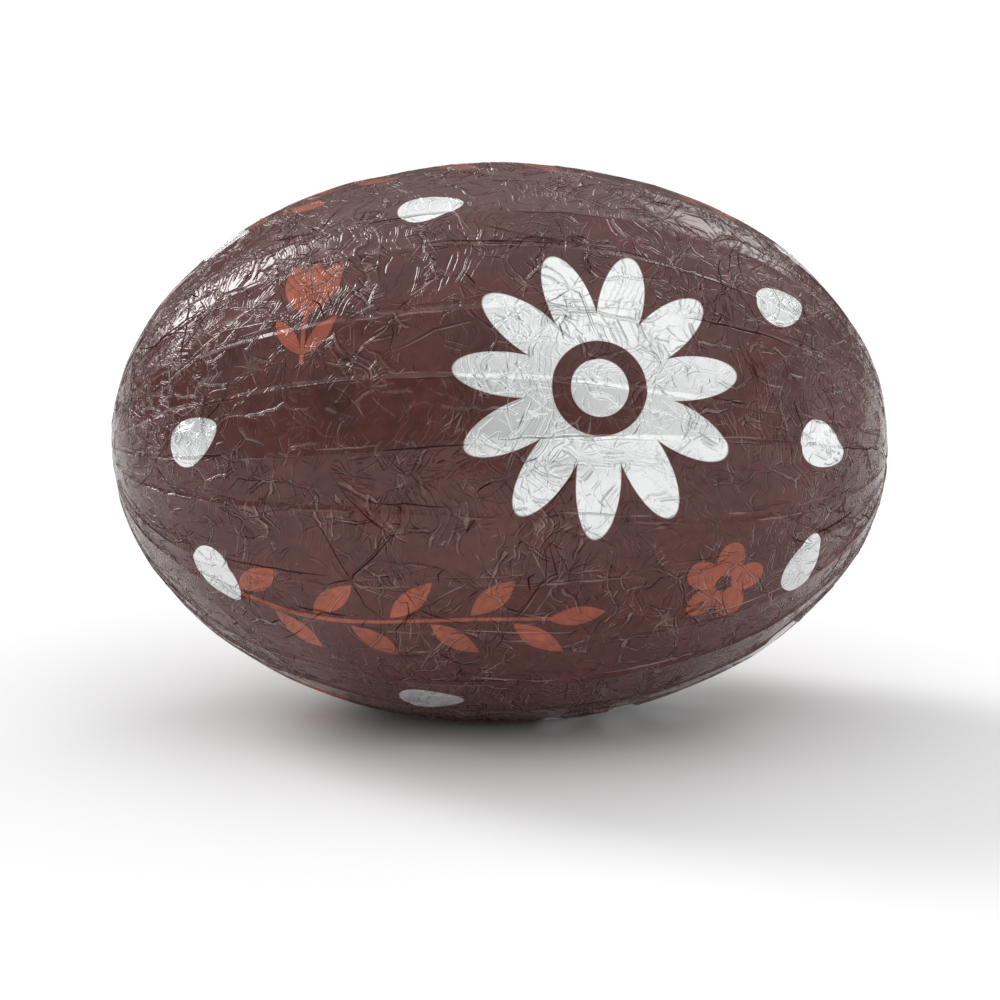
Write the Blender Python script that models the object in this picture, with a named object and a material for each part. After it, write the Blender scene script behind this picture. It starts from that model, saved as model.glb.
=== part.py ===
"""A chocolate egg wrapped in printed foil, lying on its side.

The egg is a spheroid whose long axis runs along X. The foil is pressed onto it
all round, so the two are one solid. What shows of the foil is relief in that
solid: lapped pleats that run from tip to tip and crowd together at the tips, the
outer edge of the sheet, and shallow crumples in the panels between the pleats.
The origin is on the resting face, under the middle of the egg.

A place on the egg has two angles: "along", from the left tip (0) to the right
tip (pi), and "around" the long axis, from the front (0) up over the top.
"""

import math

import bmesh
import bpy
from mathutils import Vector, noise

# Driving dimensions, in metres.
LENGTH = 0.035
GIRTH_DIAMETER = 0.0252
REST_PRESS = 0.00025  # how far the belly is pressed flat where the egg lies

# Foil pleats. A share is of the gap from one crest to the next.
PLEATS = 26
FIRST_CREST = math.radians(-3.5)
PLEAT_HEIGHT = 0.00007
STEEPEST_PLEAT = 0.035  # height over pitch, which limits the gathers at the tips
DROP_SHARE = 0.07  # short drop behind a crest
PANEL_SHARE = 0.46  # middle of the panel that follows
RAMP_SHARE = 0.15  # slope up to the next crest
CREST_JITTER = 0.12  # how unevenly the crests are spaced, in pitches
CREST_WANDER = 0.14  # how far a crest strays along its way, in pitches

# The pleats close up towards this side of the tips, at the lower back.
GATHER_SIDE = math.radians(236)
GATHER_BEND = math.radians(9)

# The outer edge of the sheet laps over the pleat that runs down that side.
OUTER_EDGE_PLEAT = 17
OUTER_EDGE_HEIGHT = 0.00013

# Crumples: (size across, depth) in metres, coarse then fine.
CRUMPLES = ((0.0052, 0.00005), (0.0022, 0.00003))
CRUMPLE_SHIFT = 3.7  # sets each layer of crumples off the one before
PANEL_PUFF = 0.00003  # the middle of a panel stands this proud

# Mesh: four lengthwise lines for each pleat, and rings from tip to tip.
LINES_PER_PLEAT = 4
RINGS = 52
CREASE_ANGLE = math.radians(35)

FOIL_BROWN = (0.105, 0.05, 0.046, 1.0)
FOIL_METALLIC = 0.25
FOIL_ROUGHNESS = 0.28

HALF_LENGTH = LENGTH / 2
GIRTH_RADIUS = GIRTH_DIAMETER / 2
CENTRE_HEIGHT = GIRTH_RADIUS - REST_PRESS
PITCH_ANGLE = 2 * math.pi / PLEATS


def clear_scene():
    for obj in list(bpy.data.objects):
        bpy.data.objects.remove(obj, do_unlink=True)


def foil_material():
    material = bpy.data.materials.new("printed_foil")
    material.use_nodes = True
    shader = material.node_tree.nodes["Principled BSDF"]
    shader.inputs["Base Color"].default_value = FOIL_BROWN
    shader.inputs["Metallic"].default_value = FOIL_METALLIC
    shader.inputs["Roughness"].default_value = FOIL_ROUGHNESS
    material.diffuse_color = FOIL_BROWN
    return material


def crest_angle(pleat, along):
    """Where a pleat's crest lies, around the long axis."""
    jitter = CREST_JITTER * math.sin(2.4 * pleat)
    wander = CREST_WANDER * math.sin(2 * along + 2.9 * pleat)
    around = FIRST_CREST + (pleat + jitter + wander) * PITCH_ANGLE
    closing = GATHER_BEND * math.cos(along) ** 2
    return around - closing * math.sin(around - GATHER_SIDE)


def crest_height(pleat, along):
    """Height of a crest. It comes and goes along the egg, and dies out at the tips."""
    height = PLEAT_HEIGHT * (0.7 + 0.3 * math.sin(3 * along + 1.7 * pleat))
    if pleat == OUTER_EDGE_PLEAT:
        height = OUTER_EDGE_HEIGHT
    pitch = PITCH_ANGLE * GIRTH_RADIUS * math.sin(along)
    return min(height, STEEPEST_PLEAT * pitch)


def line_place(line, along):
    """Angle and lift of a lengthwise line: a crest, its drop, a panel, or the ramp's foot."""
    pleat, role = divmod(line, LINES_PER_PLEAT)
    crest = crest_angle(pleat, along)
    next_crest = crest_angle((pleat + 1) % PLEATS, along)
    gap = (next_crest - crest) % (2 * math.pi)
    share = (0.0, DROP_SHARE, PANEL_SHARE, 1.0 - RAMP_SHARE)[role]
    lift = (crest_height(pleat, along), 0.0, PANEL_PUFF * math.sin(along), 0.0)[role]
    return crest + gap * share, lift


def crumple(point):
    """Shallow dents and bulges of a foil that was pressed down by hand."""
    total = 0.0
    for layer, (across, depth) in enumerate(CRUMPLES):
        shift = CRUMPLE_SHIFT * layer
        total += depth * noise.noise(point / across + Vector((shift, shift, shift)))
    return total


def egg_point(along, around):
    """Point of the plain egg about its own centre, and the outward normal there."""
    radial = Vector((0.0, -math.cos(around), math.sin(around)))
    axial = Vector((-math.cos(along), 0.0, 0.0))
    point = axial * HALF_LENGTH + radial * GIRTH_RADIUS * math.sin(along)
    normal = axial / HALF_LENGTH + radial * math.sin(along) / GIRTH_RADIUS
    return point, normal.normalized()


def foil_point(line, ring):
    """Point of the wrapped egg with its relief, above the surface that it lies on."""
    along = math.pi * ring / RINGS
    around, lift = line_place(line, along)
    point, normal = egg_point(along, around)
    placed = point + normal * (lift + crumple(point))
    placed.z = max(placed.z + CENTRE_HEIGHT, 0.0)
    return placed


def wrapped_egg_mesh():
    """Rings of lengthwise lines, joined by quads, with a fan of triangles at each tip."""
    lines = PLEATS * LINES_PER_PLEAT
    bm = bmesh.new()
    rings = [
        [bm.verts.new(foil_point(line, ring)) for line in range(lines)]
        for ring in range(1, RINGS)
    ]
    left_tip = bm.verts.new((-HALF_LENGTH, 0.0, CENTRE_HEIGHT))
    right_tip = bm.verts.new((HALF_LENGTH, 0.0, CENTRE_HEIGHT))
    for line in range(lines):
        beside = (line + 1) % lines
        for left, right in zip(rings, rings[1:]):
            bm.faces.new((left[line], left[beside], right[beside], right[line]))
        bm.faces.new((left_tip, rings[0][beside], rings[0][line]))
        bm.faces.new((right_tip, rings[-1][line], rings[-1][beside]))
    bmesh.ops.recalc_face_normals(bm, faces=bm.faces)
    mesh = bpy.data.meshes.new("wrapped_egg")
    bm.to_mesh(mesh)
    bm.free()
    mesh.shade_smooth()
    mesh.set_sharp_from_angle(angle=CREASE_ANGLE)
    return mesh


def build():
    clear_scene()
    mesh = wrapped_egg_mesh()
    mesh.materials.append(foil_material())
    egg = bpy.data.objects.new("wrapped_egg", mesh)
    bpy.context.scene.collection.objects.link(egg)


build()
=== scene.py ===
import math
import random

import bmesh
import bpy
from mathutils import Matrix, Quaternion, Vector
from mathutils.geometry import delaunay_2d_cdt
from mathutils.kdtree import KDTree
from mathutils.noise import noise as solid_noise


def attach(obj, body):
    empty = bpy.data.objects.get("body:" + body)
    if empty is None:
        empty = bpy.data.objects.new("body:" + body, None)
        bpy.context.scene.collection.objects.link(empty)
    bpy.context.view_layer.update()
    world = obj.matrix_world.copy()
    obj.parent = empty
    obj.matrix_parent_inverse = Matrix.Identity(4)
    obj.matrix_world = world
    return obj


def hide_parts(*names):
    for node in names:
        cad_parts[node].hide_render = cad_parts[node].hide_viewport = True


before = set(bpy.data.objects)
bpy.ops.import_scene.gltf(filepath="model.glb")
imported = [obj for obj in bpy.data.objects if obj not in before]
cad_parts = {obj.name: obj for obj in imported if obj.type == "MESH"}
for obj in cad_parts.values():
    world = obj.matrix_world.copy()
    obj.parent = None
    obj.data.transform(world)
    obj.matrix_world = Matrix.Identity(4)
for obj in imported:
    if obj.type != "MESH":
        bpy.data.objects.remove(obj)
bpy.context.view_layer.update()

# ---------------------------------------------------------------------------
# Sizes, in metres. The egg lies along X, and its middle is CENTRE_HEIGHT up.
# ---------------------------------------------------------------------------

MM = 0.001
REST_PRESS = 0.25 * MM  # how far the belly is pressed flat where the egg lies
LENGTH = 35 * MM
GIRTH_DIAMETER = 25.2 * MM
HALF_LENGTH = LENGTH / 2
GIRTH_RADIUS = GIRTH_DIAMETER / 2
CENTRE_HEIGHT = GIRTH_RADIUS - REST_PRESS
TIP_TO_TIP = math.pi * (HALF_LENGTH + GIRTH_RADIUS) / 2  # over the surface, nearly

# Foil pleats, by the same rule as the solid's, but a little higher and with a steeper drop.
# A drop and a ramp start and end at shares of the pitch round from the crest.
PLEATS = 26
FIRST_CREST = math.radians(-3.5)
PITCH_ANGLE = 2 * math.pi / PLEATS
PLEAT_HEIGHT = 0.09 * MM
STEEPEST_PLEAT = 0.035  # height over pitch, which limits the gathers at the tips
DROP_TOP, DROP_FOOT = -0.005, 0.08
RAMP_TOP, RAMP_MIDDLE, RAMP_FOOT = 0.017, -0.153, -0.272

# How far a crest strays, in pitches, and how much of its height comes and goes. Each pleat
# has its own turn of these waves.
CREST_JITTER, JITTER_TURN = 0.12, 2.4
CREST_WANDER, WANDER_WAVES, WANDER_TURN = 0.14, 2.0, 2.9
CREST_FADE, FADE_WAVES, FADE_TURN = 0.3, 3.0, 1.7

# The pleats close up towards this side of the tips, at the lower back. The outer edge of
# the foil laps over the pleat that runs down there.
GATHER_SIDE = math.radians(236)
GATHER_BEND = math.radians(9)
OUTER_EDGE_PLEAT = 17
OUTER_EDGE_HEIGHT = 0.13 * MM


# ---------------------------------------------------------------------------
# Writing node trees as sums
# ---------------------------------------------------------------------------

class Field:
    """A value in a node tree, which can be added, scaled and so on like a number."""

    def __init__(self, socket):
        self.socket = socket
        self.tree = socket.id_data
        self.is_vector = socket.type in ("VECTOR", "RGBA")

    def __add__(self, other):
        return combine("ADD", self, other)

    __radd__ = __add__

    def __sub__(self, other):
        return combine("SUBTRACT", self, other)

    def __rsub__(self, other):
        return combine("SUBTRACT", other, self)

    def __mul__(self, other):
        return combine("MULTIPLY", self, other)

    __rmul__ = __mul__

    def __truediv__(self, other):
        return combine("DIVIDE", self, other)

    def __neg__(self):
        return combine("MULTIPLY", self, -1.0)


def feed(socket, value):
    """Links a field to a socket, or sets a plain value there."""
    if isinstance(value, Field):
        value.tree.links.new(value.socket, socket)
    else:
        socket.default_value = value


def tree_of(values):
    return next(value.tree for value in values if isinstance(value, Field))


def math_of(operation, *values):
    node = tree_of(values).nodes.new("ShaderNodeMath")
    node.operation = operation
    for socket, value in zip(node.inputs, values):
        feed(socket, value)
    return Field(node.outputs[0])


def vector_math(operation, *values):
    node = tree_of(values).nodes.new("ShaderNodeVectorMath")
    node.operation = operation
    for socket, value in zip(node.inputs, values):
        feed(socket, value)
    return Field(node.outputs["Value" if operation == "DOT_PRODUCT" else "Vector"])


def combine(operation, first, second):
    """Adds, subtracts, multiplies or divides two values, of which one at least is a field."""
    vectors = [isinstance(value, (tuple, Vector)) or getattr(value, "is_vector", False)
               for value in (first, second)]
    if not any(vectors):
        return math_of(operation, first, second)
    if all(vectors):
        return vector_math(operation, first, second)
    if vectors[0] and operation in ("MULTIPLY", "DIVIDE"):
        factor = second if operation == "MULTIPLY" else 1.0 / second
        return scaled(first, factor)
    if vectors[1] and operation == "MULTIPLY":
        return scaled(second, first)
    raise TypeError(f"no {operation} of a vector and a number")


def scaled(vector, factor):
    node = vector.tree.nodes.new("ShaderNodeVectorMath")
    node.operation = "SCALE"
    feed(node.inputs[0], vector)
    feed(node.inputs["Scale"], factor)
    return Field(node.outputs["Vector"])


def sin(value):
    return math_of("SINE", value) if isinstance(value, Field) else math.sin(value)


def cos(value):
    return math_of("COSINE", value) if isinstance(value, Field) else math.cos(value)


def sqrt(value):
    return math_of("SQRT", value)


def absolute(value):
    return math_of("ABSOLUTE", value)


def smaller(first, second):
    return math_of("MINIMUM", first, second)


def larger(first, second):
    return math_of("MAXIMUM", first, second)


def either(masks):
    """The largest of several masks."""
    found = masks[0]
    for mask in masks[1:]:
        found = larger(found, mask)
    return found


def above(value, limit):
    return math_of("GREATER_THAN", value, limit)


def wrapped(value, low, high):
    return math_of("WRAP", value, high, low)


def rounded(value):
    return math_of("ROUND", value)


def remainder(value, divisor):
    return math_of("FLOORED_MODULO", value, divisor)


def arctan2(y, x):
    return math_of("ARCTAN2", y, x)


def bell(distance, half_width):
    """1 at no distance, falling smoothly to nothing a few half-widths away."""
    share = distance / half_width
    return math_of("EXPONENT", -(share * share))


def ramp(value, start, end):
    """0 at start and 1 at end, eased at both."""
    node = value.tree.nodes.new("ShaderNodeMapRange")
    node.interpolation_type = "SMOOTHSTEP"
    for socket, number in zip(node.inputs, (value, start, end)):
        feed(socket, number)
    return Field(node.outputs[0])


def vector(x, y, z):
    node = tree_of((x, y, z)).nodes.new("ShaderNodeCombineXYZ")
    for socket, value in zip(node.inputs, (x, y, z)):
        feed(socket, value)
    return Field(node.outputs[0])


def parts_of(value):
    node = value.tree.nodes.new("ShaderNodeSeparateXYZ")
    feed(node.inputs[0], value)
    return [Field(output) for output in node.outputs]


def dot(first, second):
    return vector_math("DOT_PRODUCT", first, second)


def unit(value):
    return vector_math("NORMALIZE", value)


def noise(place, size, detail=0.0, output="Factor", dimensions="3D"):
    """Smooth noise whose lumps are about this size; 0 to 1, or a random vector."""
    node = place.tree.nodes.new("ShaderNodeTexNoise")
    node.noise_dimensions = dimensions
    feed(node.inputs["Vector"], place)
    node.inputs["Scale"].default_value = 1 / size
    node.inputs["Detail"].default_value = detail
    return Field(node.outputs[0 if output == "Factor" else 1])


def cells(place, size, feature="F1", dimensions="3D"):
    """Random cells about this size across: the texture node itself."""
    node = place.tree.nodes.new("ShaderNodeTexVoronoi")
    node.voronoi_dimensions = dimensions
    node.feature = feature
    feed(node.inputs["Vector"], place)
    node.inputs["Scale"].default_value = 1 / size
    return node


def chance(place):
    """Random numbers that stay the same for the same place: a number and a vector."""
    node = place.tree.nodes.new("ShaderNodeTexWhiteNoise")
    feed(node.inputs["Vector"], place)
    return Field(node.outputs["Value"]), Field(node.outputs["Color"])


# ---------------------------------------------------------------------------
# New objects and materials
# ---------------------------------------------------------------------------

def placed(name, data):
    """A new object in the scene."""
    made = bpy.data.objects.new(name, data)
    bpy.context.scene.collection.objects.link(made)
    return made


def new_material(name):
    """A new material, with its shader."""
    material = bpy.data.materials.new(name)
    material.use_nodes = True
    return material, material.node_tree.nodes["Principled BSDF"]


# ---------------------------------------------------------------------------
# Where a point lies on the egg
# ---------------------------------------------------------------------------

class Spot:
    """A point of the plain egg about its own centre, with the angles that the rules use."""

    def __init__(self, place):
        self.place = place
        self.tree = place.tree
        self.x, self.y, self.z = parts_of(place)
        self.around = arctan2(self.z, -self.y)
        self.radius = sqrt(self.y * self.y + self.z * self.z)
        self.along = math_of("ARCCOSINE", self.x / -HALF_LENGTH)
        self.normal = unit(vector(self.x / HALF_LENGTH**2,
                                  self.y / GIRTH_RADIUS**2,
                                  self.z / GIRTH_RADIUS**2))


def crest_number(pleat, along):
    """A pleat's number with the stray of its crest at this place along the egg."""
    wander = CREST_WANDER * sin(along * WANDER_WAVES + pleat * WANDER_TURN)
    return pleat + CREST_JITTER * sin(pleat * JITTER_TURN) + wander


def crest_angle(pleat, along):
    """Where a pleat's crest lies, around the long axis."""
    around = FIRST_CREST + crest_number(pleat, along) * PITCH_ANGLE
    closing = cos(along) * cos(along) * GATHER_BEND
    return around - closing * sin(around - GATHER_SIDE)


def pleat_number(spot):
    """Which pleat a spot lies on, with its share of the way to the next."""
    closing = cos(spot.along) * cos(spot.along) * GATHER_BEND
    straightened = spot.around + closing * sin(spot.around - GATHER_SIDE)
    return (straightened - FIRST_CREST) / PITCH_ANGLE


def crest_height(pleat, along, radius):
    """Height of a crest. It comes and goes along the egg, and dies out at the tips."""
    fade = CREST_FADE * sin(along * FADE_WAVES + pleat * FADE_TURN)
    height = PLEAT_HEIGHT * (1.0 - CREST_FADE + fade)
    is_outer_edge = 1.0 - above(absolute(pleat - OUTER_EDGE_PLEAT), 0.5)
    height = larger(height, is_outer_edge * OUTER_EDGE_HEIGHT)
    return smaller(height, radius * (STEEPEST_PLEAT * PITCH_ANGLE))


def crests_near(spot):
    """The way from each of the three nearest crests round to a spot, and the crest's height."""
    nearest = rounded(pleat_number(spot))
    found = []
    for step in (-1, 0, 1):
        pleat = remainder(nearest + step, PLEATS)
        turn = wrapped(spot.around - crest_angle(pleat, spot.along), -math.pi, math.pi)
        found.append((turn * spot.radius, crest_height(pleat, spot.along, spot.radius)))
    return found


def pleat_lift(spot):
    """Relief of the pleats: a slope up to each crest, and a shorter drop behind it."""
    pitch = spot.radius * PITCH_ANGLE
    lifts = []
    for way, height in crests_near(spot):
        behind = ramp(way, pitch * DROP_FOOT, pitch * DROP_TOP)
        before = ramp(way, pitch * RAMP_FOOT, pitch * RAMP_TOP)
        lifts.append(height * behind * before)
    return either(lifts)


# ---------------------------------------------------------------------------
# Creases: thin folds in the foil, each a ridge or a groove with two flanks
# ---------------------------------------------------------------------------

CREASE_SEED = 11
GRID_SPACING = 0.62 * MM  # between the surface's points where there is no crease
GRID_CLEARANCE = 0.16 * MM  # from those points to a crease
RING_SHARE = 0.87  # of that spacing, from one ring of points to the next
MERGE_REACH = 1e-7  # in the flat plan, within which two points are one
STEP_OVERLAP = 0.02  # by which each step of a crease reaches over the next
TIP_CLEARANCE = 0.5 * MM  # radius about each tip that creases stay out of
FINE_FLANK = 0.038 * MM
THINNEST_SHARE = 0.25  # of a flank's width, at a crease's ends
CREASE_RISE = 0.5  # slope of a crease's flanks
STEEPNESS = (0.5, 0.8, 1.1, 1.5, 2.2)  # times that slope, by chance
RISE_SIGNS = (1, 1, -1)  # two ridges to a groove
FLANK_PAINTED_SHADES = (-1.0, -0.7, -0.4, 0.3, 0.6, 0.9)  # painted shade of the left flank: above nothing a painted shadow, below nothing a painted highlight; the right one has the opposite
KINK_CHANCE = 0.2
STEP_SPREAD = (0.75, 1.25)

# Where the foil is crumpled: smooth noise of two sizes, and a little more at the ends.
MEAN_CRUMPLE = 0.6
WIDE_CRUMPLE, WIDE_SIZE, WIDE_SHIFT = 1.3, 4.6 * MM, Vector((3.1, 0.4, 7.7))
NARROW_CRUMPLE, NARROW_SIZE, NARROW_SHIFT = 0.5, 2.0 * MM, Vector((0.9, 5.2, 2.6))
END_CRUMPLE = 0.35
SMOOTH_CHANCE = 0.06  # that a crease lies where the foil is quite smooth
CRUMPLE_POWER = 1.5

# Each kind of crease has its count or spacing, and ranges to draw from: lengths, steps and
# gaps in millimetres, and widths as shares of FINE_FLANK. Bends are how far a line turns at
# each step and at a kink, and a slant is its mean turn and its spread, in radians. A lop is
# how much wider the right flank is than the left, and a reach is how near the tips it may
# lie, as a share of the half length.
STAR_SPACING = 3.2 * MM
STAR_STRAY = (0.3, 0.35)  # round and along, as shares of the gap to the next
STAR_CHANCE = 0.25  # in smooth foil
STAR_SIZES = (0.35, 0.6, 1.0, 1.5)
STAR_RAYS = (5, 9)
RAY_SPREAD = 0.3  # of the angle between two rays
RAY_LENGTHS = (0.7, 3.0)
RAY_STEPS = (0.36, 0.5)
RAY_BENDS = (0.07, 0.5)
RAY_WIDTHS = (0.9, 1.5)
RAY_LOPS = (1, 1, 1.8)
RAY_TAPER = 0.6
LINE_TAPER = 0.5
TWIN_CHANCE = 0.22
TWIN_GAPS = (0.12, 0.22)

LINE_PATCHES = 70
LINE_REACH = 0.97
LINES_IN_PATCH = (3, 7)
LINE_GAPS = (0.17, 0.34)
LINE_LENGTHS = (1.2, 3.6)
LINE_SHARES = (0.5, 1)
LINE_STAGGER = 0.6
LINE_SLANT = (0, 0.3)
LINE_STEP = 0.3
LINE_BENDS = (0.16, 0.3)
LINE_WIDTHS = (0.9, 1.3)

LONG_FOLDS = 44
FOLD_REACH = 0.93
FOLD_LENGTHS = (3, 9)
FOLD_STEP = 0.42
FOLD_BENDS = (0.05, 0.45)
FOLD_WIDTH = 1.2
FOLD_LOPS = (1.0, 2.5)

SQUIGGLES = 560
SQUIGGLE_REACH = 0.985
SQUIGGLE_LENGTHS = (0.4, 1.5)
SQUIGGLE_STEP = 0.24
SQUIGGLE_BENDS = (0.35, 0.7)
SQUIGGLE_WIDTHS = (0.8, 1.2)

DASH_PATCHES = 30
DASH_REACH = 0.9
DASHES_IN_PATCH = (8, 16)
DASH_SLANT = (0.8, 0.25)
DASH_SPREAD = (1.3, 0.9)  # lengthwise and round
DASH_LENGTHS = (0.35, 0.9)
DASH_STEP = 0.18
DASH_BENDS = (0.1, 0.0)
DASH_WIDTH = 1.1

# Creases along the pleats. Starts, ends and breaks are angles along the egg from a tip.
PLEAT_LINE_STARTS = (0.25, 0.6)
PLEAT_LINE_STOP = 0.3
PLEAT_LINE_END = 0.25
PLEAT_LINE_ANGLES = (0.12, 0.45)
PLEAT_LINE_BREAKS = (0.04, 0.25)
PLEAT_LINE_OFFSETS = (0.2, 0.4)
PLEAT_LINE_STRAY = 0.025
PLEAT_LINE_STEP = 0.6 * MM / HALF_LENGTH
PLEAT_STEP_SPREAD = (0.7, 1.1)
PLEAT_LINE_LOPS = (1, 2)
NICK_STARTS = (0.35, 0.5)
NICK_STOP = 0.4
NICK_SPACING = 1.6 * MM / HALF_LENGTH
NICK_SPREAD = (0.5, 2.2)
NICK_OFFSETS = (-0.1, 0.3)
NICK_SLANT = (0.9, 0.35)
NICK_LENGTHS = (0.3, 0.8)
NICK_STEP = 0.2
NICK_BENDS = (0.15, 0.0)
GUIDE_START = 0.22
GUIDE_STEPS = 66


def on_egg(place):
    """The place moved straight to or from the egg's middle until it lies on the plain egg."""
    share = Vector((place.x / HALF_LENGTH, place.y / GIRTH_RADIUS, place.z / GIRTH_RADIUS))
    return place / share.length


def normal_at(place):
    x, y, z = place
    return Vector((x / HALF_LENGTH**2, y / GIRTH_RADIUS**2, z / GIRTH_RADIUS**2)).normalized()


def lengthwise_at(place):
    normal = normal_at(place)
    return (Vector((1, 0, 0)) - normal * normal.x).normalized()


def place_at(along, around):
    """The place on the egg at two angles: from the left tip, and from the front over the top."""
    x = -HALF_LENGTH * math.cos(along)
    radius = GIRTH_RADIUS * math.sin(along)
    return Vector((x, -radius * math.cos(around), radius * math.sin(around)))


def radius_at(place):
    return math.hypot(place.y, place.z)


def crumple_at(place):
    """How crumpled the foil is at a place, from 0 in its smooth patches to 1."""
    wide = solid_noise(place / WIDE_SIZE + WIDE_SHIFT)
    narrow = solid_noise(place / NARROW_SIZE + NARROW_SHIFT)
    at_end = (abs(place.x) / HALF_LENGTH)**4
    crumple = MEAN_CRUMPLE + WIDE_CRUMPLE * wide + NARROW_CRUMPLE * narrow + END_CRUMPLE * at_end
    return min(max(crumple, 0.0), 1.0)


def crumpled_place(luck, reach):
    """A place no nearer the tips than its reach, and likelier where the foil is crumpled."""
    while True:
        place = place_at(math.acos(luck.uniform(-reach, reach)), luck.uniform(0, 2 * math.pi))
        if luck.random() < SMOOTH_CHANCE + (1 - SMOOTH_CHANCE) * crumple_at(place)**CRUMPLE_POWER:
            return place


def turned(way, place, angle):
    return Quaternion(normal_at(place), angle) @ way


def walk(luck, start, way, length, step, bends):
    """A crooked line over the egg, which bends a little at each step and now and then sharply."""
    bend, kink = bends
    points = [on_egg(start)]
    for _ in range(max(2, round(length / step))):
        angle = luck.gauss(0, bend)
        if luck.random() < KINK_CHANCE:
            angle += luck.gauss(0, kink)
        way = turned(way, points[-1], angle)
        onward = on_egg(points[-1] + way * step * luck.uniform(*STEP_SPREAD))
        if radius_at(onward) < TIP_CLEARANCE:
            break
        way = (onward - points[-1]).normalized()
        points.append(onward)
    return points


class Crease:
    """A thin fold: the points of its ridge, the width of each flank, its rise and the painted
    shadow and highlight of its flanks.

    Its left flank is width wide, and its right one lop times that. It is thin at both ends,
    or, as a ray of a star, widest next to its start.
    """

    def __init__(self, luck, ridge, width, lop=1.0, ray=False):
        self.ridge = ridge
        last = max(len(ridge) - 1, 1)
        if ray:
            self.share = [(1 - place / last)**RAY_TAPER for place in range(len(ridge))]
            self.share[0] = THINNEST_SHARE
        else:
            self.share = [max(math.sin(math.pi * place / last), 0.0)**LINE_TAPER
                          for place in range(len(ridge))]
        self.left = width
        self.right = width * lop
        self.rise = CREASE_RISE * luck.choice(STEEPNESS) * luck.choice(RISE_SIGNS)
        # painted shadow on one flank and painted highlight on the other, not real shading
        self.shade = luck.choice(FLANK_PAINTED_SHADES)

    def shoulder(self, side, width):
        """The foot of one flank, from the ridge's first point to its last."""
        found = [self.ridge[0]]
        inner = zip(self.ridge, self.ridge[1:], self.ridge[2:], self.share[1:])
        for before, place, after, share in inner:
            out = normal_at(place).cross(after - before).normalized() * side
            found.append(on_egg(place + out * width * max(share, THINNEST_SHARE)))
        return found + [self.ridge[-1]]

    def lines(self):
        return [self.ridge, self.shoulder(1, self.left), self.shoulder(-1, self.right)]

    def reach(self):
        return max(self.left, self.right)


def spread_places(luck, spacing):
    """Places spread over the egg about this far apart, each a little out of line."""
    rows = round(TIP_TO_TIP / spacing)
    round_stray, along_stray = STAR_STRAY
    for row in range(rows):
        along = math.pi * (row + 0.5) / rows
        count = max(1, round(2 * math.pi * GIRTH_RADIUS * math.sin(along) / spacing))
        first = luck.random()
        for place in range(count):
            stray = luck.uniform(-round_stray, round_stray)
            around = 2 * math.pi * (place + first + stray) / count
            off = luck.uniform(-along_stray, along_stray) * math.pi / rows
            yield place_at(along + off, around)


def star_creases(luck):
    """Crumple points, from which creases run out like the rays of a star."""
    for centre in spread_places(luck, STAR_SPACING):
        if luck.random() > STAR_CHANCE + (1 - STAR_CHANCE) * crumple_at(centre):
            continue
        size = luck.choice(STAR_SIZES)
        rays = luck.randint(*STAR_RAYS)
        first = luck.random()
        for ray in range(rays):
            angle = 2 * math.pi * (ray + first + luck.uniform(-RAY_SPREAD, RAY_SPREAD)) / rays
            way = turned(lengthwise_at(centre), centre, angle)
            length = size * luck.uniform(*RAY_LENGTHS) * MM
            step = luck.uniform(*RAY_STEPS) * MM
            ridge = walk(luck, centre, way, length, step, RAY_BENDS)
            width = FINE_FLANK * luck.uniform(*RAY_WIDTHS)
            yield Crease(luck, ridge, width, luck.choice(RAY_LOPS), ray=True)
            if luck.random() < TWIN_CHANCE:  # a second, finer crease beside the ray
                beside = normal_at(centre).cross(way) * luck.uniform(*TWIN_GAPS) * MM
                twin = [on_egg(place + beside) for place in ridge[1:]]
                yield Crease(luck, twin, FINE_FLANK)


def line_patches(luck):
    """Patches where a few fine lines run side by side, mostly round the egg."""
    for _ in range(LINE_PATCHES):
        centre = crumpled_place(luck, LINE_REACH)
        way = turned(lengthwise_at(centre), centre, math.pi / 2 + luck.gauss(*LINE_SLANT))
        beside = normal_at(centre).cross(way)
        gap = luck.uniform(*LINE_GAPS) * MM
        length = luck.uniform(*LINE_LENGTHS) * MM
        for line in range(luck.randint(*LINES_IN_PATCH)):
            onward = luck.uniform(-LINE_STAGGER, LINE_STAGGER)
            start = centre + beside * gap * line + way * onward * MM
            own_length = length * luck.uniform(*LINE_SHARES)
            ridge = walk(luck, start, way, own_length, LINE_STEP * MM, LINE_BENDS)
            yield Crease(luck, ridge, FINE_FLANK * luck.uniform(*LINE_WIDTHS))


def long_folds(luck):
    """Long crooked folds, steep on one side."""
    for _ in range(LONG_FOLDS):
        along = math.acos(luck.uniform(-FOLD_REACH, FOLD_REACH))
        start = place_at(along, luck.uniform(0, 2 * math.pi))
        way = turned(lengthwise_at(start), start, luck.uniform(0, 2 * math.pi))
        length = luck.uniform(*FOLD_LENGTHS) * MM
        ridge = walk(luck, start, way, length, FOLD_STEP * MM, FOLD_BENDS)
        yield Crease(luck, ridge, FINE_FLANK * FOLD_WIDTH, luck.choice(FOLD_LOPS))


def squiggles(luck):
    """Short crooked creases all over."""
    for _ in range(SQUIGGLES):
        start = crumpled_place(luck, SQUIGGLE_REACH)
        way = turned(lengthwise_at(start), start, luck.uniform(0, 2 * math.pi))
        length = luck.uniform(*SQUIGGLE_LENGTHS) * MM
        ridge = walk(luck, start, way, length, SQUIGGLE_STEP * MM, SQUIGGLE_BENDS)
        yield Crease(luck, ridge, FINE_FLANK * luck.uniform(*SQUIGGLE_WIDTHS))


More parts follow.
